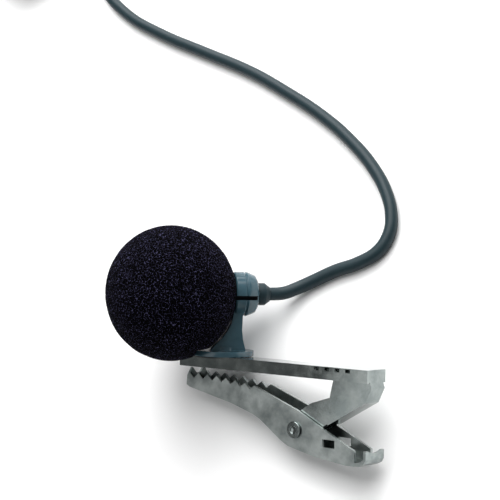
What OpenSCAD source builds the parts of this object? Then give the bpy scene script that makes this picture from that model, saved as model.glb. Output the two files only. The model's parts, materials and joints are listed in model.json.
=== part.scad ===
// Lavalier microphone with its foam windscreen, swivelling holder and toothed metal clip.
// The clip is drawn upright: X runs from the jaw tips to the tail, Z from the clip up to
// the microphone. lie_down() then rolls the whole object on its side, as it lies on a table.

/* [Clip] */
// Length of the upper jaw
clip_length = 41.5; // [40:0.5:44]
// Width of both jaws over the walls
clip_width = 4.8; // [4.6:0.1:5.2]
// Thickness of the sheet steel
sheet = 0.5; // [0.4:0.05:0.5]
// Height of the upper jaw's side walls
flange_height = 2.1; // [1.8:0.1:2.1]
// Height of a grip tooth
tooth_height = 1.0; // [0.6:0.1:1.2]
// Teeth along one wall
tooth_count = 7; // [5:1:7]
// Distance from the jaw tips to the swivel axis
swivel_x = 8.2; // [7:0.1:9]
// Radius of the hinge pin
pin_r = 0.9; // [0.7:0.05:1]

/* [Microphone] */
// Height of the microphone's axis over the upper jaw
axis_height = 10.8; // [10.8:0.1:12]
// Turn of the microphone away from the line of the clip
swivel_turn = 54; // [52:1:90]
// Radius of the microphone housing
housing_r = 3.1; // [3:0.05:3.2]
// Wall of the microphone housing
housing_wall = 0.45; // [0.3:0.05:0.5]
// Radius of the electret capsule
capsule_r = 2.25; // [2:0.05:2.3]
// Radius of the strain relief boot
boot_r = 1.95; // [1.7:0.05:2.1]

/* [Windscreen] */
// Radius of the foam ball across the microphone's axis
foam_r = 11.6; // [10:0.1:11.6]
// Half length of the foam ball along the microphone's axis
foam_half_length = 11.2; // [10:0.1:11.2]
// Distance from the swivel axis to the centre of the ball
foam_centre = 9.4; // [9.2:0.1:10]

/* [Holder] */
// Outer radius of the holder's ring
ring_r = 3.9; // [3.8:0.05:4]
// Radius of the foot disc
disc_r = 5.3; // [4.8:0.1:5.6]
// Width of the ring's slit
slit_width = 0.7; // [0.4:0.1:1]

/* [Cord and plug] */
// Diameter of the cord
cord_d = 2.3; // [2.2:0.1:2.3]
// Radius of the coil at the middle of its turns
coil_r = 13.4; // [13:0.1:14]
// Radius of the plug's barrel
barrel_r = 4; // [3.5:0.1:4.5]
// Length of the plug's barrel
barrel_length = 16; // [14:1:18]
// Radius of the plug's contacts
plug_r = 1.75; // [1.75:0.01:1.76]
// Length of the plug's contacts
plug_length = 14; // [13:0.5:15]

/* [Hidden] */
$fn = 48;

// Side roll and tail lift of the object as it lies on the table
lie_roll = -66;
lie_lift = -8.1;
// Moves the lying object's bottom centre to the origin
lie_shift = [-15.93, -1.64, 4.1];

// Radial gap between turning or sliding pieces
gap = 0.05;
half_w = clip_width / 2;

// Places along the microphone's axis, from the swivel axis, positive towards the ball
housing_front = 5.5;
housing_back = -5.3;
ring_front = -1.5;
ring_back = -5.3;
cap_back = -5.75;
boot_neck = -7.1;
boot_end = -8;
cable_end = -2.6;

// Foot disc of the holder, measured down from the microphone's axis
disc_sheet = 0.9;
disc_top = axis_height - disc_sheet - 0.1;

capsule_back = 2.5;
capsule_front = 4.7;
cord_r = cord_d / 2;

// Shank of the swivel rivet, and how far it goes up into the holder
rivet_r = 1;
rivet_reach = 1.6;

// The hinge between the jaws
pivot = [26.8, -10.8];
ear_half = half_w - sheet - 0.15;

// Outline points of the lower jaw, seen from the side
jaw_tip = [1.8, -5.3];
jaw_bottom = [[2.6, -5.7], [12.7, -7.7], [17.6, -9.1], [19.2, -9.8], [23.8, -12.8], [25.4, -13.6],
              [30.9, -14.7], [37.6, -15.4], [39.3, -15.35]];
wall_top = [[39.2, -12.95], [31.9, -9.7], [27.4, -7.6], [17.7, -4.3]];

// Cord route on the table, from the boot to the coil, heights at the middle of the cord
exit_height = 4.2;
cord_points = [
    [-2.77, 11, exit_height], [-1.17, 11.95, 2.8], [0.45, 13.4, 1.8], [2.81, 15.2, 1.25], [6.77, 17.66, cord_r],
    [10.98, 19.62, cord_r], [14.05, 22.14, cord_r], [15.15, 25.55, cord_r], [14.55, 28.96, cord_r], [12.58, 32.78, cord_r],
    [8.37, 37.76, cord_r], [1.82, 43.21, cord_r], [-5.9, 48.19, cord_r], [-15.36, 53.02, cord_r], [-25.37, 57.5, cord_r],
    [-38.37, 62, cord_r], [-51.37, 66.5, cord_r], [-63.37, 72, cord_r], [-72.37, 79, cord_r], [-77.77, 87.5, 1.4],
    [-79.62, 97, 1.65]];
coil_centre = [-95.37, 97];
coil_rows = 4;
coil_columns = 3;
tie_sheet = 0.5;
coil_bottom = tie_sheet;
coil_height = coil_rows * cord_d;
coil_half = coil_columns * cord_d / 2 + 0.05;
tail_points = [
    [-111.12, 97, 8.55], [-111.27, 92, 7.7], [-111.57, 87, 5.8], [-111.77, 82, 4.4], [-111.87, 78, barrel_r]];
plug_x = -111.87;
plug_y = 78;
plug_boot_length = 8;

// Rolls the upright object on its side and sets it on the table
module lie_down() {
    translate(lie_shift) rotate([0, lie_lift, 0]) rotate([lie_roll, 0, 0]) children();
}

// Local frame of the microphone: +Z along its axis towards the ball, +X down to the clip
module on_mic() {
    lie_down()
    translate([swivel_x, 0, axis_height])
    rotate([0, 0, 180 + swivel_turn])
    rotate([0, 90, 0])
    children();
}

// Local frame of the plug: +Z towards its tip
module on_plug() {
    translate([plug_x, plug_y, barrel_r]) rotate([90, 0, 0]) children();
}

module tube(r_out, r_in, z0, z1) {
    translate([0, 0, z0])
    difference() {
        cylinder(r = r_out, h = z1 - z0);
        translate([0, 0, -1]) cylinder(r = r_in, h = z1 - z0 + 2);
    }
}

// A flat outline in the side view, given as [x, z], made as thick as half_y each way
module side_plate(points, half_y) {
    rotate([90, 0, 0])
    translate([0, 0, -half_y])
    linear_extrude(height = 2 * half_y)
    polygon(points);
}

// Catmull-Rom curve through a list of points
function spline_point(p0, p1, p2, p3, t) =
    0.5 * (2 * p1 + (p2 - p0) * t + (2 * p0 - 5 * p1 + 4 * p2 - p3) * t * t
           + (3 * p1 - p0 - 3 * p2 + p3) * t * t * t);
function spline(points, steps) =
    let (last = len(points) - 1)
    concat(
        [for (i = [0:last - 1], s = [0:steps - 1])
            spline_point(points[max(i - 1, 0)], points[i], points[i + 1],
                         points[min(i + 2, last)], s / steps)],
        [points[last]]);
function unit(v) = v / norm(v);

// A round tube with flat ends, swept along a path
module swept_tube(path, r, sides = 8) {
    last = len(path) - 1;
    rings = [for (i = [0:last])
        let (along = unit(path[min(i + 1, last)] - path[max(i - 1, 0)]),
             side = unit(cross(along, [0, 0, 1])),
             up = cross(side, along))
        for (k = [0:sides - 1])
            path[i] + r * (cos(360 * k / sides) * side + sin(360 * k / sides) * up)];
    walls = [for (i = [0:last - 1], k = [0:sides - 1])
        let (a = i * sides + k, b = i * sides + (k + 1) % sides)
        each [[a, a + sides, b + sides], [a, b + sides, b]]];
    front = [for (k = [0:sides - 1]) k];
    back = [for (k = [sides - 1:-1:0]) last * sides + k];
    polyhedron(points = rings, faces = concat(walls, [front], [back]));
}

module housing() {
    color("dimgray")
    on_mic()
    tube(housing_r, housing_r - housing_wall, housing_back, housing_front);
}

module front_grille() {
    grille_r = housing_r - housing_wall;
    color("silver")
    on_mic()
    translate([0, 0, housing_front - 0.5])
    difference() {
        cylinder(r = grille_r, h = 0.4);
        translate([0, 0, -1]) cylinder(r = 0.35, h = 3);
        for (turn = [0:60:300])
            rotate([0, 0, turn]) translate([1.3, 0, -1]) cylinder(r = 0.35, h = 3);
    }
}

module dust_felt() {
    color("black")
    on_mic()
    translate([0, 0, capsule_front + 0.01])
    cylinder(r = capsule_r, h = 0.27);
}

module capsule_can() {
    wall = 0.15;
    color("gainsboro")
    on_mic()
    difference() {
        translate([0, 0, capsule_back]) cylinder(r = capsule_r, h = capsule_front - capsule_back);
        translate([0, 0, capsule_back - 1])
            cylinder(r = capsule_r - wall, h = capsule_front - capsule_back + 1 - wall);
        translate([0, 0, capsule_front - 1]) cylinder(r = 0.6, h = 2);
    }
}

module capsule_diaphragm() {
    color("gold")
    on_mic()
    translate([0, 0, capsule_front - 0.35])
    cylinder(r = capsule_r - 0.17, h = 0.12);
}

module capsule_backplate() {
    color("darkgoldenrod")
    on_mic()
    translate([0, 0, capsule_front - 0.8])
    difference() {
        cylinder(r = capsule_r - 0.2, h = 0.3);
        for (turn = [0:90:270])
            rotate([0, 0, turn]) translate([1, 0, -1]) cylinder(r = 0.25, h = 3);
    }
}

module capsule_board() {
    color("darkgreen")
    on_mic()
    translate([0, 0, capsule_back + 0.05])
    cylinder(r = capsule_r - 0.17, h = 0.4);
}

module capsule_gasket() {
    color("darkslategray")
    on_mic()
    tube(housing_r - housing_wall - 0.02, capsule_r + 0.02, capsule_back - 0.2, capsule_front);
}

module solder_joints() {
    color("silver")
    on_mic()
    for (side = [-1, 1])
        translate([0, side * 0.9, capsule_back - 0.2]) cylinder(r = 0.35, h = 0.25);
}

module signal_wires() {
    color("firebrick")
    on_mic()
    for (side = [-1, 1])
        translate([0, side * 0.5, cable_end])
            rotate([-side * 4.8, 0, 0])
                cylinder(r = 0.2, h = capsule_back - cable_end - 0.24);
}

module cable_clamp() {
    color("silver")
    on_mic()
    tube(cord_r + 0.5, cord_r + 0.02, cable_end - 1.4, cable_end - 0.3);
}

module inner_cable() {
    color("dimgray")
    on_mic()
    translate([0, 0, boot_end])
    cylinder(r = cord_r, h = cable_end - boot_end);
}

// Domed rear closure with a spigot that is glued in the housing
module rear_cap() {
    color("dimgray")
    on_mic()
    rotate_extrude()
    polygon([[cord_r + 0.02, cap_back], [boot_r + 0.25, cap_back], [2.7, cap_back + 0.12],
             [housing_r, housing_back - 0.01], [housing_r - housing_wall - 0.02, housing_back - 0.01],
             [housing_r - housing_wall - 0.02, -4.3], [cord_r + 0.02, -4.3]]);
}

module strain_boot() {
    color("dimgray")
    on_mic()
    rotate_extrude()
    polygon([[cord_r + 0.02, cap_back - 0.01], [boot_r, cap_back - 0.01], [boot_r, boot_neck],
             [boot_r - 0.2, boot_neck - 0.25], [cord_r + 0.12, boot_end], [cord_r + 0.02, boot_end]]);
}

module cord_run() {
    color("dimgray")
    swept_tube(spline(cord_points, 3), cord_r);
}

module cord_coil() {
    color("dimgray")
    translate([coil_centre.x, coil_centre.y, coil_bottom])
    rotate_extrude()
    translate([coil_r - coil_half, 0])
    polygon([[0.8, 0], [2 * coil_half - 0.8, 0], [2 * coil_half, 0.8], [2 * coil_half, coil_height - 0.8],
             [2 * coil_half - 0.8, coil_height], [0.8, coil_height], [0, coil_height - 0.8], [0, 0.8]]);
}

// Two soft straps around the coil's bundle, opposite each other
module cord_ties() {
    band = 4;
    room = 0.02;
    color("black")
    for (side = [-1, 1])
        translate([coil_centre.x, coil_centre.y + side * coil_r, 0])
            difference() {
                translate([-band / 2, -coil_half - tie_sheet - room, 0])
                    cube([band, 2 * (coil_half + tie_sheet + room), coil_height + 2 * tie_sheet]);
                translate([-band, -coil_half - 0.25, tie_sheet - room])
                    cube([2 * band, 2 * coil_half + 0.5, coil_height + 2 * room]);
            }
}

module cord_tail() {
    color("dimgray")
    swept_tube(spline(tail_points, 3), cord_r);
}

module plug_boot() {
    color("black")
    on_plug()
    cylinder(r1 = cord_r + 0.4, r2 = barrel_r - 1, h = plug_boot_length);
}

module plug_barrel() {
    edge = 0.6;
    color("black")
    on_plug()
    rotate_extrude()
    polygon([[0, plug_boot_length], [barrel_r - edge, plug_boot_length],
             [barrel_r, plug_boot_length + edge],
             [barrel_r, plug_boot_length + barrel_length - edge],
             [barrel_r - edge, plug_boot_length + barrel_length],
             [0, plug_boot_length + barrel_length]]);
}

plug_start = plug_boot_length + barrel_length;
sleeve_length = plug_length * 0.68;
insulator_length = 0.8;

module plug_sleeve() {
    color("silver")
    on_plug()
    translate([0, 0, plug_start]) cylinder(r = plug_r, h = sleeve_length);
}

module plug_insulator() {
    color("black")
    on_plug()
    translate([0, 0, plug_start + sleeve_length]) cylinder(r = plug_r - 0.25, h = insulator_length);
}

module plug_tip() {
    base = plug_start + sleeve_length + insulator_length;
    tip_end = plug_start + plug_length;
    color("silver")
    on_plug()
    rotate_extrude()
    polygon([[0, base], [plug_r, base], [plug_r, base + 0.5], [plug_r - 0.6, base + 1.2],
             [plug_r - 0.05, base + 2.1], [plug_r - 0.5, tip_end - 0.5], [0.5, tip_end], [0, tip_end]]);
}

// Foam ball with a blind bore that slips over the housing, and a dent over the foot disc
module windscreen_foam() {
    bands = 20;
    bore_r = housing_r + 0.1;
    bore_depth = housing_front + 0.4;
    room = 0.35;
    color([0.12, 0.1, 0.15])
    on_mic()
    difference() {
        rotate_extrude()
        polygon([for (i = [0:bands])
            let (angle = -90 + 180 * i / bands)
            [foam_r * cos(angle), foam_centre + foam_half_length * sin(angle)]]);
        translate([0, 0, ring_back]) cylinder(r = bore_r, h = bore_depth - ring_back);
        translate([disc_top - room, 0, 0]) rotate([0, 90, 0]) cylinder(r = disc_r + room, h = 5);
        translate([disc_top - room, -disc_r - room, -12]) cube([5, 2 * (disc_r + room), 12]);
    }
}

// Moulded ring with a slit, a neck and the foot disc on which the clip turns
module mic_holder() {
    groove = 0.25;
    groove_z = -3.45;
    bore_r = housing_r + gap;
    color("darkslategray")
    on_mic()
    difference() {
        union() {
            rotate_extrude()
            polygon([[1, ring_front], [ring_r - 0.2, ring_front], [ring_r, ring_front - 0.2],
                     [ring_r, groove_z + groove], [ring_r - groove, groove_z],
                     [ring_r, groove_z - groove], [ring_r - 0.15, groove_z - 0.7],
                     [ring_r - 0.45, ring_back + 0.4], [bore_r + 0.1, ring_back], [1, ring_back]]);
            rotate([0, 90, 0]) neck();
            translate([disc_top, 0, 0]) rotate([0, 90, 0]) cylinder(r = disc_r, h = disc_sheet);
            translate([disc_top - 0.6, 0, 0]) rotate([0, 90, 0]) cylinder(r = 2.3, h = 0.7);
        }
        translate([0, 0, -8]) cylinder(r = bore_r, h = 8);
        translate([0.6 - slit_width / 2, bore_r - 1, ring_back - 1]) cube([slit_width, 3, 6]);
        translate([axis_height - rivet_reach, 0, 0]) rotate([0, 90, 0]) cylinder(r = rivet_r, h = 5);
    }
}

// The neck's outline across the ring, from the ring's underside to the foot
module neck() {
    half_thickness = 2;
    rotate([90, 0, 0])
    translate([0, 0, -half_thickness])
    linear_extrude(height = 2 * half_thickness)
    polygon([[1.6, 2], [1.05, 5], [0.25, 6.5], [-0.7, 7.8], [-1.95, 9], [-2.7, 9.85], [3.6, 9.85],
             [3.1, 8], [2.9, 6.2], [2.95, 4.5], [3.1, 2]]);
}

// Headed rivet, pressed up into the neck through the upper jaw
module swivel_rivet() {
    color("silver")
    lie_down()
    translate([swivel_x, 0, 0]) {
        translate([0, 0, -sheet - 0.85]) cylinder(r = 1.6, h = 0.5);
        translate([0, 0, -sheet - 0.4]) cylinder(r = rivet_r - 0.005, h = sheet + 0.4 + rivet_reach);
    }
}

module spring_washer() {
    color("silver")
    lie_down()
    translate([swivel_x, 0, 0])
    tube(1.55, rivet_r + gap, -sheet - 0.32, -sheet - 0.02);
}

// Folded channel with its lever, which carries the hinge ears
module upper_jaw() {
    slot_length = 0.95;
    slot_pitch = 2.13;
    slot_start = 30.7;
    color("gray")
    lie_down()
    difference() {
        union() {
            difference() {
                translate([0, -half_w, -flange_height]) cube([clip_length, clip_width, flange_height]);
                translate([-1, -half_w + sheet, -flange_height - 1])
                    cube([clip_length + 1 - sheet, clip_width - 2 * sheet, flange_height + 1 - sheet]);
            }
            lever();
        }
        translate([swivel_x, 0, -2]) cylinder(r = rivet_r + gap, h = 4);
        for (i = [0:3], side = [-1, 1])
            translate([slot_start + i * slot_pitch, side * (half_w - 0.3) - 0.4, -0.72])
                cube([slot_length, 0.8, 0.6]);
        translate([pivot.x, 5, pivot.y]) rotate([90, 0, 0]) cylinder(r = pin_r, h = 10);
    }
}

// Two hinge ears joined by the folded back plate that the thumb presses
module lever() {
    back_plate = [[41.5, -1.9], [41.9, -2.9], [40.7, -5.3], [33.2, -9.5], [33, -9.1], [40.3, -5.05],
                  [41.2, -2.9], [41, -1.9]];
    ear = [[34.2, -1.9], [41.3, -1.9], [41.6, -3], [40.5, -5.2], [33.1, -9.3], [28.3, -12.1],
           [26.8, -12.8], [25.3, -12.1], [24.8, -10.8], [25.4, -9.3], [27.3, -7.7], [29.7, -6.2], [33.5, -5]];
    side_plate(back_plate, ear_half);
    for (side = [-1, 1])
        translate([0, side * (ear_half - sheet / 2), 0]) side_plate(ear, sheet / 2);
}

// Rivet with a shallow hollow in each head
module pivot_pin() {
    head_r = 1.4;
    head = 0.35;
    reach = half_w + gap;
    color("silver")
    lie_down()
    translate([pivot.x, 0, pivot.y])
    rotate([90, 0, 0])
    difference() {
        union() {
            translate([0, 0, -reach - head]) cylinder(r = pin_r - 0.005, h = 2 * (reach + head));
            for (z = [-reach - head, reach]) translate([0, 0, z]) cylinder(r = head_r, h = head);
        }
        for (z = [-reach - head - 1, reach + head - 0.2])
            translate([0, 0, z]) cylinder(r = 0.6, h = 1.2);
    }
}

// Coiled spring on the pin, with one leg to each jaw
module torsion_spring() {
    wire = 0.2;
    wind_r = 1.25;
    turns = 5;
    lead = 0.36;
    end = (turns - 1) / 2 * lead;
    color("silver")
    lie_down() {
        translate([pivot.x, 0, pivot.y])
        rotate([90, 0, 0])
        for (i = [0:turns - 1])
            translate([0, 0, i * lead - end])
                rotate_extrude() translate([wind_r, 0]) circle(r = wire, $fn = 16);
        spring_leg([27.41, -11.89], [34.5, -7.95], end + 0.04, wire * 0.95);
        spring_leg([pivot.x - wind_r, pivot.y + 0.1], [20.6, -9.6], -end - 0.04, wire * 0.95);
    }
}

module spring_leg(from, to, y, wire) {
    run = to - from;
    translate([from.x, y, from.y])
    rotate([0, 90 - atan2(run.y, run.x), 0])
    cylinder(r = wire, h = norm(run), $fn = 16);
}

// Toothed channel, open towards the upper jaw, with a turned-up thumb end
module lower_jaw() {
    pitch = 2.19;
    first = 2.45;
    tips = [for (i = [0:tooth_count - 1]) [first + i * pitch, -3.1 - 0.9 * pow(i / 6, 2)]];
    roots = [for (i = [0:tooth_count - 1]) tips[i] + [pitch / 2, -tooth_height]];
    teeth = [for (i = [tooth_count - 1:-1:0]) each [roots[i], tips[i]]];
    wall = concat([jaw_tip], jaw_bottom, wall_top, teeth, [[jaw_tip.x + 0.1, -3.9]]);
    hollow = concat(
        [[jaw_tip.x + sheet, 0], [jaw_tip.x + sheet, jaw_tip.y + 0.45]],
        [for (p = jaw_bottom) if (p.x > 3) [p.x, p.y + 0.55]],
        [[50, -14.5], [50, 0]]);
    color("gray")
    lie_down() {
        difference() {
            side_plate(wall, half_w);
            side_plate(hollow, half_w - sheet);
            translate([pivot.x, 5, pivot.y]) rotate([90, 0, 0]) cylinder(r = pin_r + gap, h = 10);
            translate([32.6, -5, -13]) cube([2.6, 10, 1.3]);
        }
        front_wall();
        thumb_end();
    }
}

module front_wall() {
    tip_z = -2.3;
    root_z = -3.7;
    translate([jaw_tip.x + 0.1, 0, 0])
    rotate([90, 0, 90])
    linear_extrude(height = sheet)
    polygon([[-half_w, -5.3], [half_w, -5.3], [half_w, root_z], [half_w - 0.9, tip_z],
             [half_w - 2.4, root_z], [0.1 - half_w + 2.2, root_z], [-half_w + 0.9, tip_z],
             [-half_w, root_z]]);
}

module thumb_end() {
    outer = [[39.1, -15.35], [40.2, -15.25], [41.1, -14.8], [41.5, -14.1], [41.5, -12.75]];
    inner = [[41, -12.75], [41, -13.9], [40.7, -14.4], [40, -14.7], [39.1, -14.8]];
    difference() {
        side_plate(concat(outer, inner), half_w);
        translate([43, 0, -9.2]) rotate([0, -90, 0]) cylinder(r = 4, h = 3);
    }
}

housing();
front_grille();
dust_felt();
capsule_can();
capsule_diaphragm();
capsule_backplate();
capsule_board();
capsule_gasket();
solder_joints();
signal_wires();
cable_clamp();
inner_cable();
rear_cap();
strain_boot();
cord_run();
cord_coil();
cord_ties();
cord_tail();
plug_boot();
plug_barrel();
plug_sleeve();
plug_insulator();
plug_tip();
windscreen_foam();
mic_holder();
swivel_rivet();
spring_washer();
upper_jaw();
pivot_pin();
torsion_spring();
lower_jaw();
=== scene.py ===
"""Lavalier microphone: foam windscreen, swivelling holder, toothed clip, thin lead and plug."""

import json
from math import cos, pi, radians, sin
import bmesh
import bpy
from mathutils import Matrix, Vector, noise


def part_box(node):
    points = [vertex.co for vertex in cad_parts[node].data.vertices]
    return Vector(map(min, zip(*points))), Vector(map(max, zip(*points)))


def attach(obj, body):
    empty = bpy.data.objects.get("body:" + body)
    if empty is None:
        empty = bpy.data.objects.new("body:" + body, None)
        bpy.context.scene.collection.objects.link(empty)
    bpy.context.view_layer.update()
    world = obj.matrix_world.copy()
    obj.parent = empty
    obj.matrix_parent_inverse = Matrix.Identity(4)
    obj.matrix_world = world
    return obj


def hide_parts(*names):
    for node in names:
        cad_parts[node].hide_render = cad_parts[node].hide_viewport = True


MM = 0.001
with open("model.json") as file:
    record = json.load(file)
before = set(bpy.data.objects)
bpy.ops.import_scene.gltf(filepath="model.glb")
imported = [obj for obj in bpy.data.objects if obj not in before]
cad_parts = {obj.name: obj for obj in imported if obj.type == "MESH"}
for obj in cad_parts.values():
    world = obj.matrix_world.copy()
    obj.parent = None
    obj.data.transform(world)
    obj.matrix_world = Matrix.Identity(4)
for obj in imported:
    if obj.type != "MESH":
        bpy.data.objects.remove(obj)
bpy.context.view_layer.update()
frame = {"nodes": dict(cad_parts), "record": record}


# Camera: level with the clip, a little above its upper jaw, and well round towards its tail.
# It is set in the clip's own directions, read from its joints: up from the upper jaw to the
# microphone, along from the jaw tips to the tail, and across.
joints = {joint["name"]: joint for joint in frame["record"]["behaviour"]["joints"]}
swivel_point = Vector(joints["clip_swivel"]["pos_m"])
hinge_point = Vector(joints["jaw_hinge"]["pos_m"])
clip_up = Vector(joints["clip_swivel"]["axis"]).normalized()
to_hinge = hinge_point - swivel_point
clip_along = (to_hinge - clip_up * to_hinge.dot(clip_up)).normalized()
clip_across = clip_up.cross(clip_along)
view_turn = radians(42.1)
view_roll = radians(-1.15)
view_pitch = radians(0.12)
view_distance = 247.9 * MM
view_side = 10.4 * MM
view_rise = 19.0 * MM
lens_mm = 100.25
swivel_from_tip = 8.2 * MM
tip_point = swivel_point - clip_along * swivel_from_tip
level_right = clip_along * cos(view_turn) + clip_across * sin(view_turn)
level_forward = clip_across * cos(view_turn) - clip_along * sin(view_turn)
forward = level_forward * cos(view_pitch) - clip_up * sin(view_pitch)
level_up = level_forward * sin(view_pitch) + clip_up * cos(view_pitch)
right = level_right * cos(view_roll) - level_up * sin(view_roll)
up = level_right * sin(view_roll) + level_up * cos(view_roll)
camera = bpy.data.objects.new("camera", bpy.data.cameras.new("camera"))
bpy.context.scene.collection.objects.link(camera)
bpy.context.scene.camera = camera
camera.data.sensor_width = 36
camera.data.lens = lens_mm
camera.data.clip_start = 0.005
camera.matrix_world = Matrix((right, up, -forward)).transposed().to_4x4()
camera.location = (
    tip_point + level_right * view_side - level_forward * view_distance + clip_up * view_rise)


# Cord: a thin screened cable in a soft dark grey-green PVC jacket, extruded with a satin skin.
# It comes down from the boot on to the table, runs in loose curves, and is wound in a coil.
# Scratch scripts that measured the photo gave the seen part of the route, as report.md says.
cord_d = 2.3 * MM
cord_route = [Vector(p) * MM for p in (
    (-3.02, 10.87, 4.45), (-1.17, 11.95, 2.8), (0.45, 13.4, 1.8), (2.81, 15.2, 1.25),
    (6.77, 17.66, 1.15), (10.98, 19.62, 1.15), (14.05, 22.14, 1.15), (15.15, 25.55, 1.15),
    (14.55, 28.96, 1.15), (12.58, 32.78, 1.15), (8.37, 37.76, 1.15), (1.82, 43.21, 1.15),
    (-5.9, 48.19, 1.15), (-15.36, 53.02, 1.15), (-25.37, 57.5, 1.15), (-38.37, 62, 1.15),
    (-51.37, 66.5, 1.15), (-63.37, 72, 1.15), (-72.37, 79, 1.15), (-77.77, 87.5, 1.4))]
tail_route = [Vector(p) * MM for p in (
    (-111.27, 92, 7.7), (-111.57, 87, 5.8), (-111.77, 82, 4.4), (-111.87, 78, 4))]
coil_centre = Vector((-95.37, 97)) * MM
coil_r = 13.4 * MM
column_pitch = 2.35 * MM
row_pitch = cord_d
first_row_height = 1.65 * MM
coil_turns = 11.5
points_a_turn = 20
columns = [1, 0, -1, -1, 0, 1, 1, 0, -1, -1, 0, 1]
rows = [0, 0, 0, 1, 1, 1, 2, 2, 2, 3, 3, 3]
crossing = 0.2


def coil_point(turn):
    """A point on the coil after this many turns. Each turn has its own place in the bundle."""
    here = min(int(turn), len(rows) - 1)
    after = min(here + 1, len(rows) - 1)
    part = max(0, (turn - here - 1 + crossing) / crossing)
    ease = part * part * (3 - 2 * part)
    column = columns[here] + (columns[after] - columns[here]) * ease
    row = rows[here] + (rows[after] - rows[here]) * ease
    reach = coil_r + column * column_pitch
    angle = 2 * pi * turn
    return Vector((coil_centre.x + reach * cos(angle), coil_centre.y + reach * sin(angle),
                   first_row_height + row * row_pitch))


def srgb(code):
    """A hex colour as the linear values that a socket takes."""
    levels = [int(code[i : i + 2], 16) / 255 for i in (1, 3, 5)]
    return [v / 12.92 if v <= 0.04045 else ((v + 0.055) / 1.055) ** 2.4 for v in levels] + [1.0]


def add(material, kind, inputs=None, **settings):
    """Adds a node to a material with its settings, input values and links."""
    node = material.node_tree.nodes.new(kind)
    for name, value in settings.items():
        setattr(node, name, value)
    for name, value in (inputs or {}).items():
        if isinstance(value, bpy.types.NodeSocket):
            material.node_tree.links.new(value, node.inputs[name])
        else:
            node.inputs[name].default_value = value
    return node


def finish_material(name, **sockets):
    """A new Principled material with plain socket values, and its shader node."""
    material = bpy.data.materials.new(name)
    material.use_nodes = True
    shader = material.node_tree.nodes["Principled BSDF"]
    for socket, value in sockets.items():
        shader.inputs[socket.replace("_", " ")].default_value = value
    return material, shader


def mottle(material, shader, low, high, grain_mm, bump, detail=4):
    """Varies a surface's colour between two hex codes at one grain, and gives it a faint relief."""
    place = add(material, "ShaderNodeTexCoord").outputs["Object"]
    grain = add(material, "ShaderNodeTexNoise", {
        "Vector": place, "Scale": 1 / (grain_mm * MM), "Detail": detail, "Roughness": 0.6})
    tone = add(material, "ShaderNodeMix", {
        "Factor": grain.outputs["Fac"], 6: srgb(low), 7: srgb(high)}, data_type="RGBA")
    relief = add(material, "ShaderNodeBump", {
        "Height": grain.outputs["Fac"], "Strength": bump, "Distance": 0.05 * MM})
    links = material.node_tree.links
    links.new(tone.outputs[2], shader.inputs["Base Color"])
    links.new(relief.outputs["Normal"], shader.inputs["Normal"])


def dress(obj, material, body=None):
    """Gives a piece its material and, for a new piece, its body and material slot."""
    obj.data.materials.clear()
    obj.data.materials.append(material)
    if body:
        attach(obj, body)


steps = int(coil_turns * points_a_turn)
coil_route = [coil_point(coil_turns * i / steps) for i in range(steps + 1)]
cord_curve = bpy.data.curves.new("cord", "CURVE")
cord_curve.dimensions = "3D"
cord_curve.bevel_depth = cord_d / 2
cord_curve.bevel_resolution = 4
cord_curve.resolution_u = 6
cord_curve.use_fill_caps = True
spline = cord_curve.splines.new("BEZIER")
route = cord_route + coil_route + tail_route
spline.bezier_points.add(len(route) - 1)
for knot, point in zip(spline.bezier_points, route):
    knot.co = point
    knot.handle_left_type = knot.handle_right_type = "AUTO"
cord = bpy.data.objects.new("cord", cord_curve)
bpy.context.scene.collection.objects.link(cord)
jacket, shader = finish_material("satin_extruded_pvc", Roughness=0.5, IOR=1.5,
                                 Specular_IOR_Level=0.3)
mottle(jacket, shader, "#15272d", "#1d3238", 0.8, 0.12)
dress(cord, jacket, "microphone")
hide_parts("cord_run", "cord_coil", "cord_tail")


# Cord straps: two bands of black woven nylon, 4 mm wide, closed round the coil's bundle.
# They hold the turns on opposite sides of the coil, one nearer the microphone than the other.
strap_width = 4 * MM
strap_sheet = 0.5 * MM
strap_corner = 1.1 * MM
strap_slack = 0.02 * MM
bundle_half = 3.5 * MM
threads_scale = 350.0


def show(name, bm):
    """Turns a finished bmesh into a smooth piece at the origin."""
    mesh = bpy.data.meshes.new(name)
    for face in bm.faces:
        face.smooth = True
    bm.to_mesh(mesh)
    bm.free()
    piece = bpy.data.objects.new(name, mesh)
    bpy.context.scene.collection.objects.link(piece)
    return piece


def strap(name, side):
    """A closed band round the bundle's section, with round corners and a real thickness."""
    inner = bundle_half + strap_slack
    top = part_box("cord_ties")[1][2]
    corner = (coil_centre.x - strap_width / 2, coil_centre.y + side * coil_r, 0)
    bm = bmesh.new()
    bmesh.ops.create_grid(bm, x_segments=1, y_segments=1, size=1)
    for vert in bm.verts:
        vert.co = Vector((0, vert.co.x * (inner + strap_sheet), (vert.co.y + 1) / 2 * top))
    bmesh.ops.bevel(bm, geom=bm.verts[:], offset=strap_corner, affect="VERTICES", segments=6,
                    profile=0.5, material=-1)
    bmesh.ops.inset_region(bm, faces=bm.faces[:], thickness=strap_sheet, use_boundary=True,
                           use_even_offset=True)
    middle = max(bm.faces, key=lambda face: face.calc_area())
    bmesh.ops.delete(bm, geom=[middle], context="FACES_ONLY")
    made = bmesh.ops.extrude_face_region(bm, geom=bm.faces[:])
    moved = [v for v in made["geom"] if isinstance(v, bmesh.types.BMVert)]
    bmesh.ops.translate(bm, verts=moved, vec=(strap_width, 0, 0))
    bmesh.ops.translate(bm, verts=bm.verts, vec=corner)
    bmesh.ops.recalc_face_normals(bm, faces=bm.faces)
    return show(name, bm)


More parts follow.
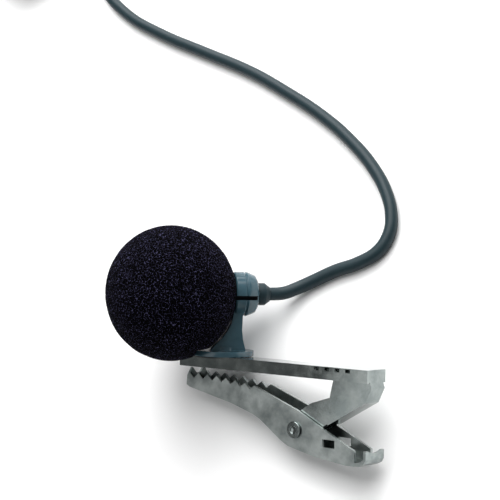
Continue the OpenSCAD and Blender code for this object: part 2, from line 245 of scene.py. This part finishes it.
weave, shader = finish_material("woven_black_nylon", Roughness=0.75)
place = add(weave, "ShaderNodeTexCoord").outputs["Object"]
threads = add(weave, "ShaderNodeTexWave", {"Vector": place, "Scale": threads_scale, "Distortion": 1.0},
              bands_direction="DIAGONAL")
relief = add(weave, "ShaderNodeBump", {
    "Height": threads.outputs["Fac"], "Strength": 0.5, "Distance": 0.1 * MM})
weave_tone = add(weave, "ShaderNodeMix", {
    "Factor": threads.outputs["Fac"], 6: srgb("#0c0c0e"), 7: srgb("#232327")}, data_type="RGBA")
weave.node_tree.links.new(relief.outputs["Normal"], shader.inputs["Normal"])
weave.node_tree.links.new(weave_tone.outputs[2], shader.inputs["Base Color"])
straps = [strap("cord_strap_near", -1), strap("cord_strap_far", 1)]
for band in straps:
    dress(band, weave, "microphone")
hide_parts("cord_ties")
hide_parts("cord_ties")


# Plug: a 3.5 mm jack plug with a ribbed rubber boot and a moulded barrel with grip grooves.
# The contacts are turned brass, nickel plated, with a black insulator between them.
lathe_steps = 48
edge = 0.6 * MM
grip_grooves = 7
grip_start = 0.3
groove_depth = 0.25 * MM
groove_slope = 0.2 * MM
groove_floor = 0.3 * MM
groove_pitch = 1.2 * MM
boot_ribs = 5
boot_wall = 0.4 * MM
boot_step = 1 * MM
boot_rim = 0.02 * MM
rib_depth = 0.3 * MM
rib_outline = ((0.05, 0), (0.6, 0), (0.7, 1), (0.95, 1))


def lathe(name, profile, place):
    """Spins a profile of (radius, height) pairs round Z and puts it in place."""
    bm = bmesh.new()
    verts = [bm.verts.new((r, 0, z)) for r, z in profile]
    for a, b in zip(verts, verts[1:]):
        bm.edges.new((a, b))
    bmesh.ops.spin(bm, geom=bm.verts[:] + bm.edges[:], cent=(0, 0, 0), axis=(0, 0, 1),
                   angle=2 * pi, steps=lathe_steps, use_merge=True)
    bmesh.ops.remove_doubles(bm, verts=bm.verts, dist=1e-7)
    bmesh.ops.recalc_face_normals(bm, faces=bm.faces)
    bmesh.ops.transform(bm, matrix=place, verts=bm.verts)
    return show(name, bm)


barrel_lo, barrel_hi = (Vector(corner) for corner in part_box("plug_barrel"))
boot_lo, boot_hi = (Vector(corner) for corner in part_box("plug_boot"))
plug_axis = (barrel_lo + barrel_hi) / 2
barrel_r = (barrel_hi.x - barrel_lo.x) / 2
barrel_length = barrel_hi.y - barrel_lo.y
plug_place = Matrix.Rotation(radians(90), 4, "X")
plug_place.translation = (plug_axis.x, barrel_hi.y, plug_axis.z)
barrel_profile = [(0, 0), (barrel_r - edge, 0), (barrel_r, edge)]
for i in range(grip_grooves):
    start = barrel_length * grip_start + i * groove_pitch
    floor_start = start + groove_slope
    floor_end = floor_start + groove_floor
    barrel_profile += [(barrel_r, start), (barrel_r - groove_depth, floor_start),
                       (barrel_r - groove_depth, floor_end), (barrel_r, floor_end + groove_slope)]
barrel_profile += [(barrel_r, barrel_length - edge), (barrel_r - edge, barrel_length),
                   (0, barrel_length)]
barrel = lathe("plug_barrel_moulded", barrel_profile, plug_place)
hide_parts("plug_barrel")
satin_abs, shader = finish_material("satin_moulded_abs", Roughness=0.38)
mottle(satin_abs, shader, "#141416", "#1d1d20", 0.5, 0.15)
dress(barrel, satin_abs, "microphone")

boot_length = boot_hi.y - boot_lo.y
boot_start_r = cord_d / 2 + boot_wall
boot_end_r = barrel_r - boot_step
boot_profile = [(0, -boot_length)]
for i in range(boot_ribs):
    for part, sunk in rib_outline:
        along = (i + part) / boot_ribs
        boot_profile.append((boot_start_r + (boot_end_r - boot_start_r) * along - sunk * rib_depth,
                             (along - 1) * boot_length))
boot_profile += [(boot_end_r, -boot_rim), (boot_end_r, 0), (0, 0)]
boot = lathe("plug_boot_ribbed", boot_profile, plug_place)
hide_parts("plug_boot")
rubber, shader = finish_material("matt_moulded_rubber", Roughness=0.7)
mottle(rubber, shader, "#101012", "#1a1a1c", 0.3, 0.25)
dress(boot, rubber, "microphone")

nickel, shader = finish_material("bright_nickel_plate", Metallic=1.0, Roughness=0.16)
mottle(nickel, shader, "#b9b8b4", "#cccbc6", 1.5, 0.02)
for node in ("plug_sleeve", "plug_tip"):
    dress(frame["nodes"][node], nickel)
dress(frame["nodes"]["plug_insulator"], satin_abs)


# Windscreen: a ball of black-violet open-cell polyurethane foam, ground to shape, with a bore.
# The cut cells stand as a fine net of bright struts round dark pores, and the foot disc dents it.
# The near black of the pores is painted shade in their hollows; the struts' violet grey is the foam's own
# colour.
axis_height = 10.8 * MM
mic_axis = Vector(joints["windscreen_slide"]["axis"]).normalized()
mic_point = swivel_point + clip_up * axis_height
mic_place = Matrix((-clip_up, mic_axis.cross(-clip_up), mic_axis)).transposed().to_4x4()
mic_place.translation = mic_point
foam_r = 11.72 * MM
foam_half_length = 11.3 * MM
foam_centre = 9.4 * MM
cell = 0.5 * MM
pore_depth = 0.16 * MM
pore_slope = 0.5
lump = 2.6 * MM
lump_height = 0.05 * MM
fine_grain = 0.3 * MM
bore_r = 3.2 * MM
bore_depth = 5.9 * MM
bore_overrun = 8 * MM
dent_height = 9.45 * MM
dent_reach = 5.65 * MM


def foam_skin(point):
    """How far a point of the ball's skin sinks: nothing on a strut, and most in a pore."""
    near, far = noise.voronoi(point / cell)[0][:2]
    pore = min(1, (far - near) / pore_slope)
    sag = noise.noise(point / lump) * lump_height
    return pore_depth * pore * pore * (3 - 2 * pore) + sag


bm = bmesh.new()
bmesh.ops.create_icosphere(bm, subdivisions=7, radius=1)
for vert in bm.verts:
    out = vert.co.normalized()
    skin = Vector((out.x * foam_r, out.y * foam_r, out.z * foam_half_length))
    spot = skin - out * foam_skin(skin) + Vector((0, 0, foam_centre))
    if spot.x > dent_height and spot.z < dent_reach and abs(spot.y) < dent_reach:
        spot.x = dent_height
    vert.co = spot
foam = show("windscreen_foam_ball", bm)
bm = bmesh.new()
bmesh.ops.create_cone(bm, cap_ends=True, segments=48, radius1=bore_r, radius2=bore_r,
                      depth=bore_depth + bore_overrun)
bmesh.ops.translate(bm, verts=bm.verts, vec=(0, 0, (bore_depth - bore_overrun) / 2))
bore = show("foam_bore", bm)
cut = foam.modifiers.new("bore", "BOOLEAN")
cut.operation = "DIFFERENCE"
cut.object = bore
bpy.context.view_layer.update()
graph = bpy.context.evaluated_depsgraph_get()
hollowed = bpy.data.meshes.new_from_object(foam.evaluated_get(graph))
foam.modifiers.clear()
foam.data = hollowed
foam.data.transform(mic_place)
bpy.data.objects.remove(bore)
foam_material, shader = finish_material("open_cell_foam", Roughness=0.95, Specular_IOR_Level=0.03,
                                        Sheen_Weight=0.03, Sheen_Roughness=0.25)
shader.inputs["Sheen Tint"].default_value = srgb("#8f8aa8")
place = add(foam_material, "ShaderNodeTexCoord").outputs["Object"]
cells = add(foam_material, "ShaderNodeTexVoronoi", {"Vector": place, "Scale": 1 / cell},
            feature="DISTANCE_TO_EDGE")
fine = add(foam_material, "ShaderNodeTexNoise", {
    "Vector": place, "Scale": 1 / fine_grain, "Detail": 3.0, "Roughness": 0.7})
struts = add(foam_material, "ShaderNodeMapRange", {
    "Value": cells.outputs["Distance"], "From Min": 0.0, "From Max": 0.14, "To Min": 1.0, "To Max": 0.25})
speckle = add(foam_material, "ShaderNodeMath", {0: struts.outputs[0], 1: fine.outputs["Fac"]},
              operation="MULTIPLY")
# Colour ramp: the pores are painted near black as shade in their hollows, and the struts take the foam's
# own violet grey.
strut_tone_and_pore_shade = add(foam_material, "ShaderNodeValToRGB", {"Fac": speckle.outputs[0]})
strut_tone_and_pore_shade.color_ramp.elements[0].position = 0.42
strut_tone_and_pore_shade.color_ramp.elements[0].color = srgb("#010102")
strut_tone_and_pore_shade.color_ramp.elements[1].position = 0.76
strut_tone_and_pore_shade.color_ramp.elements[1].color = srgb("#73719c")
relief = add(foam_material, "ShaderNodeBump", {
    "Height": speckle.outputs[0], "Strength": 0.9, "Distance": 0.12 * MM})
foam_material.node_tree.links.new(strut_tone_and_pore_shade.outputs["Color"], shader.inputs["Base Color"])
foam_material.node_tree.links.new(relief.outputs["Normal"], shader.inputs["Normal"])
dress(foam, foam_material, "windscreen")
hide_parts("windscreen_foam")


# Holder: one moulding of grey-green ABS, glossy from the tool: a slit ring with a groove, a neck,
# a collar and the foot disc. The microphone snaps into the ring, and the clip turns on the disc.
sharp_angle = radians(28)
flat_angle = radians(0.5)
bevel_segments = 3


def softened(node, name, width):
    """A copy of a CAD node with its sharp edges rounded, as tumbling or moulding leaves them."""
    bm = bmesh.new()
    bm.from_mesh(frame["nodes"][node].data)
    bmesh.ops.remove_doubles(bm, verts=bm.verts, dist=1e-6)
    bmesh.ops.dissolve_limit(bm, angle_limit=flat_angle, verts=bm.verts, edges=bm.edges)
    sharp = [e for e in bm.edges if len(e.link_faces) == 2 and e.calc_face_angle(0) > sharp_angle]
    bmesh.ops.bevel(bm, geom=sharp, offset=width, affect="EDGES", segments=bevel_segments, profile=0.5,
                    material=-1, clamp_overlap=True)
    piece = show(name, bm)
    even = piece.modifiers.new("even_shading", "WEIGHTED_NORMAL")
    even.keep_sharp = True
    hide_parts(node)
    return piece


gloss_abs, shader = finish_material("gloss_moulded_abs", Roughness=0.2, IOR=1.53)
mottle(gloss_abs, shader, "#314b56", "#405e69", 2.0, 0.05, detail=2)
holder = softened("mic_holder", "mic_holder_moulded", 0.12 * MM)
dress(holder, gloss_abs, "microphone")
cap = softened("rear_cap", "rear_cap_moulded", 0.08 * MM)
dress(cap, gloss_abs, "microphone")
dress(frame["nodes"]["swivel_rivet"], nickel)


# Microphone: a black anodised tube that holds the capsule in a rubber sleeve behind a felt and a
# grille, with its board, wires and clamp, and a short strain relief in the cord's own PVC.
relief_boot = softened("strain_boot", "strain_boot_moulded", 0.12 * MM)
dress(relief_boot, jacket, "microphone")
dress(frame["nodes"]["inner_cable"], jacket)
anodised, shader = finish_material("black_anodised_aluminium", Metallic=1.0, Roughness=0.35)
mottle(anodised, shader, "#17181a", "#232427", 0.4, 0.08)
dress(frame["nodes"]["housing"], anodised)
for node in ("front_grille", "capsule_can", "cable_clamp"):
    dress(frame["nodes"][node], nickel)
felt, shader = finish_material("pressed_felt", Roughness=1.0)
mottle(felt, shader, "#08080a", "#17171a", 0.15, 0.8)
dress(frame["nodes"]["dust_felt"], felt)
film, shader = finish_material("gold_sputtered_film", Metallic=1.0, Roughness=0.2)
mottle(film, shader, "#c8a24a", "#d8b765", 1.0, 0.03)
dress(frame["nodes"]["capsule_diaphragm"], film)
brass, shader = finish_material("drawn_brass", Metallic=1.0, Roughness=0.3)
mottle(brass, shader, "#a88740", "#bf9c52", 0.6, 0.05)
dress(frame["nodes"]["capsule_backplate"], brass)
board, shader = finish_material("solder_masked_board", Roughness=0.35)
mottle(board, shader, "#0d3a1d", "#145029", 0.5, 0.1)
dress(frame["nodes"]["capsule_board"], board)
dress(frame["nodes"]["capsule_gasket"], rubber)
solder, shader = finish_material("bright_solder", Metallic=1.0, Roughness=0.25)
mottle(solder, shader, "#a9aaad", "#c4c5c8", 0.3, 0.1)
dress(frame["nodes"]["solder_joints"], solder)
insulation, shader = finish_material("red_wire_insulation", Roughness=0.4)
mottle(insulation, shader, "#7c120e", "#941b15", 0.4, 0.05)
dress(frame["nodes"]["signal_wires"], insulation)


# Clip: two pressings of 0.5 mm steel, folded, tumbled and nickel plated to a soft polish.
# The plating mirrors what is round it, with faint clouding and rub marks from use.
def nickel_plate(name, dull, bright, smooth, rough, scratch):
    """Nickel over steel, clouded between two tones, and between two roughnesses."""
    plate, shader = finish_material(name, Metallic=1.0)
    place = add(plate, "ShaderNodeTexCoord").outputs["Object"]
    cloud = add(plate, "ShaderNodeTexNoise", {
        "Vector": place, "Scale": 1 / (3.5 * MM), "Detail": 4.0, "Roughness": 0.6})
    rub = add(plate, "ShaderNodeTexNoise", {
        "Vector": place, "Scale": 1 / (0.3 * MM), "Detail": 4.0, "Roughness": 0.75})
    gloss = add(plate, "ShaderNodeMapRange", {
        "Value": cloud.outputs["Fac"], "From Min": 0.35, "From Max": 0.65,
        "To Min": smooth, "To Max": rough})
    tone = add(plate, "ShaderNodeMapRange", {
        "Value": cloud.outputs["Fac"], "From Min": 0.35, "From Max": 0.65})
    plate_tone = add(plate, "ShaderNodeMix", {
        "Factor": tone.outputs[0], 6: srgb(dull), 7: srgb(bright)}, data_type="RGBA")
    relief = add(plate, "ShaderNodeBump", {
        "Height": rub.outputs["Fac"], "Strength": scratch, "Distance": 0.03 * MM})
    plate.node_tree.links.new(gloss.outputs[0], shader.inputs["Roughness"])
    plate.node_tree.links.new(plate_tone.outputs[2], shader.inputs["Base Color"])
    plate.node_tree.links.new(relief.outputs["Normal"], shader.inputs["Normal"])
    return plate


polished = nickel_plate("polished_nickel_plate", "#7f8786", "#a3aaa8", 0.08, 0.15, 0.05)
tumbled = nickel_plate("tumbled_nickel_plate", "#8a9291", "#bcc3c1", 0.28, 0.42, 0.2)
upper = softened("upper_jaw", "upper_jaw_plated", 0.14 * MM)
dress(upper, polished, "upper_clip")
lower = softened("lower_jaw", "lower_jaw_plated", 0.1 * MM)
dress(lower, tumbled, "lower_clip")
pin = softened("pivot_pin", "pivot_pin_headed", 0.12 * MM)
dress(pin, polished, "upper_clip")
dress(frame["nodes"]["spring_washer"], nickel)


# Torsion spring: drawn steel wire wound round the hinge pin, one leg on each jaw.
# Its coil's middle is at the hinge, and it rides with the upper jaw.
wire_r = 0.2 * MM
wind_r = 1.25 * MM
wind_turns = 4.116
wind_lead = 0.44 * MM
wire_points_a_turn = 20
upper_leg_along = 7.1 * MM
upper_leg_rise = 3.9 * MM
lower_leg_along = 4.1 * MM
lower_leg_rise = 0.91 * MM
spring_points = []
turn_steps = int(wind_turns * wire_points_a_turn)
start_angle = radians(60.9)
for i in range(turn_steps + 1):
    angle = start_angle + 2 * pi * wind_turns * i / turn_steps
    slide = (0.5 - i / turn_steps) * wind_turns * wind_lead
    spring_points.append(
        hinge_point + clip_along * wind_r * cos(angle) - clip_up * wind_r * sin(angle)
        + clip_across * slide)
upper_leg = spring_points[0] + clip_along * upper_leg_along + clip_up * upper_leg_rise
lower_leg = spring_points[-1] + clip_up * lower_leg_rise - clip_along * lower_leg_along
spring_curve = bpy.data.curves.new("torsion_spring_wire", "CURVE")
spring_curve.dimensions = "3D"
spring_curve.bevel_depth = wire_r
spring_curve.bevel_resolution = 3
spring_curve.use_fill_caps = True
wire_spline = spring_curve.splines.new("POLY")
wire_route = [upper_leg] + spring_points + [lower_leg]
wire_spline.points.add(len(wire_route) - 1)
for knot, point in zip(wire_spline.points, wire_route):
    knot.co = (*point, 1)
spring = bpy.data.objects.new("torsion_spring_wire", spring_curve)
bpy.context.scene.collection.objects.link(spring)
wire, shader = finish_material("drawn_spring_wire", Metallic=1.0, Roughness=0.28)
mottle(wire, shader, "#8d8f92", "#a3a5a8", 0.3, 0.05)
dress(spring, wire, "upper_clip")
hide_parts("torsion_spring")


# Studio: a white sheet to lie on, with soft light from above and behind, and a weak one on the
# clip's near side, which leaves its walls dark towards the tips.
floor_half = 3
sky_strength = 0.18
bm = bmesh.new()
bmesh.ops.create_grid(bm, x_segments=1, y_segments=1, size=floor_half)
floor = show("floor", bm)
paper, shader = finish_material("white_paper", Roughness=0.9, Specular_IOR_Level=0.1)
shader.inputs["Base Color"].default_value = srgb("#f8f8f8")
dress(floor, paper)
world = bpy.data.worlds.new("studio")
bpy.context.scene.world = world
world.use_nodes = True
world.node_tree.nodes["Background"].inputs["Color"].default_value = (1, 1, 1, 1)
world.node_tree.nodes["Background"].inputs["Strength"].default_value = sky_strength


def softbox(name, direction, distance, size, power):
    """A square area light that looks at the object from this direction."""
    light = bpy.data.objects.new(name, bpy.data.lights.new(name, "AREA"))
    light.data.size = size
    light.data.energy = power
    towards = Vector(direction).normalized()
    light.location = mic_point + towards * distance
    light.rotation_euler = towards.to_track_quat("Z", "Y").to_euler()
    bpy.context.scene.collection.objects.link(light)


side_aim = -(clip_along * 0.18 + clip_across * 0.98 + clip_up * 0.08)
softbox("overhead_softbox", (0, 0.6, 1), 0.9, 1.0, 10.5)
softbox("back_softbox", (-0.25, 0.8, 0.55), 0.6, 0.5, 3.5)
softbox("side_softbox", side_aim, 0.6, 0.45, 0.65)
bpy.context.scene.view_settings.view_transform = "Standard"
